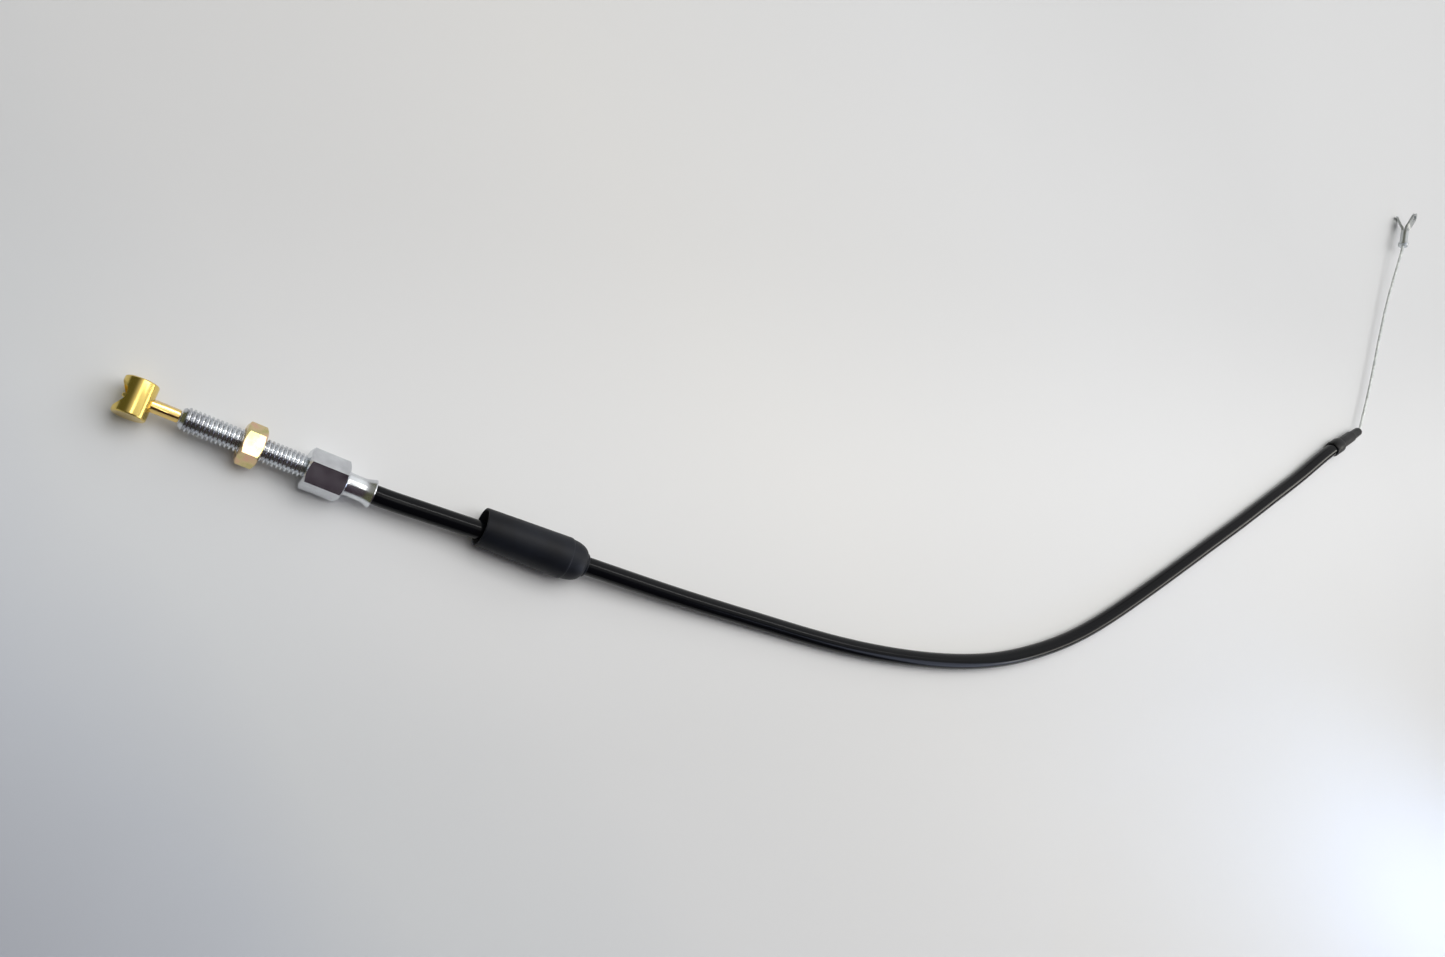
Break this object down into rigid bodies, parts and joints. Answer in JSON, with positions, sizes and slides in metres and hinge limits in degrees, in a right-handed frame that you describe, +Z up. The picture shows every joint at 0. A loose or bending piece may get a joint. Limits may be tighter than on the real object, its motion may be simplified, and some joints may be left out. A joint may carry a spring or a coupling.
{
  "type": "motorbike rear brake cable",
  "caption": "Sheathed brake cable with a brass barrel end, threaded adjuster with lock nut, rubber boot, ferrule and a bare wire ending in a fork.",
  "frame": {"origin": "on the floor under the middle of the adjuster, boot, ferrule and fork taken together", "axes": "+X along the adjuster from the barrel towards the sheath, +Y across the floor towards the fork's side, +Z up"},
  "size_m": [0.606, 0.4018, 0.0156],
  "materials": {
    "brass": "satin, turned",
    "solder": "smooth, cast",
    "bright_brass": "bright, drawn",
    "wire_strand": "stranded, greyish",
    "zinc_steel": "bright zinc plating",
    "yellow_zinc_steel": "yellow passivated zinc plating",
    "black_jacket": "satin",
    "conduit_steel": "bright wound wire",
    "liner_plastic": "plain",
    "boot_rubber": "matte",
    "ferrule_plastic": "moulded",
    "fork_steel": "plain, grey"
  },
  "bodies": {
    "cable": {"adjuster_bolt": "zinc_steel", "outer_sheath": "black_jacket", "spiral_conduit": "conduit_steel", "sheath_liner": "liner_plastic", "inner_wire_held": "wire_strand", "end_ferrule": "ferrule_plastic"},
    "front_wire": {"brass_barrel": "brass", "wire_solder": "solder", "wire_end_sleeve": "bright_brass", "inner_wire_front": "wire_strand"},
    "rear_wire": {"fork_end": "fork_steel", "inner_wire_bare": "wire_strand"},
    "lock_nut": {"adjuster_lock_nut": "yellow_zinc_steel"},
    "boot": {"rubber_boot": "boot_rubber"}
  },
  "joints": [
    {"name": "wire_pull", "type": "slide", "parent": "cable", "child": "front_wire", "axis": [-1, 0, 0], "range_m": [0, 0.062]},
    {"name": "fork_draw", "type": "slide", "parent": "cable", "child": "rear_wire", "axis": [-0.0836, -0.9965, 0], "range_m": [0, 0.062], "deforming": ["inner_wire_bare"]},
    {"name": "nut_travel", "type": "slide", "parent": "cable", "child": "lock_nut", "axis": [1, 0, 0], "range_m": [-0.0189, 0.0144]},
    {"name": "boot_slide", "type": "slide", "parent": "cable", "child": "boot", "axis": [-0.9982, -0.0599, 0], "range_m": [0, 0.045]}
  ],
  "couplings": [
    {"joint": "fork_draw", "follows": "wire_pull", "ratio": 1}
  ]
}
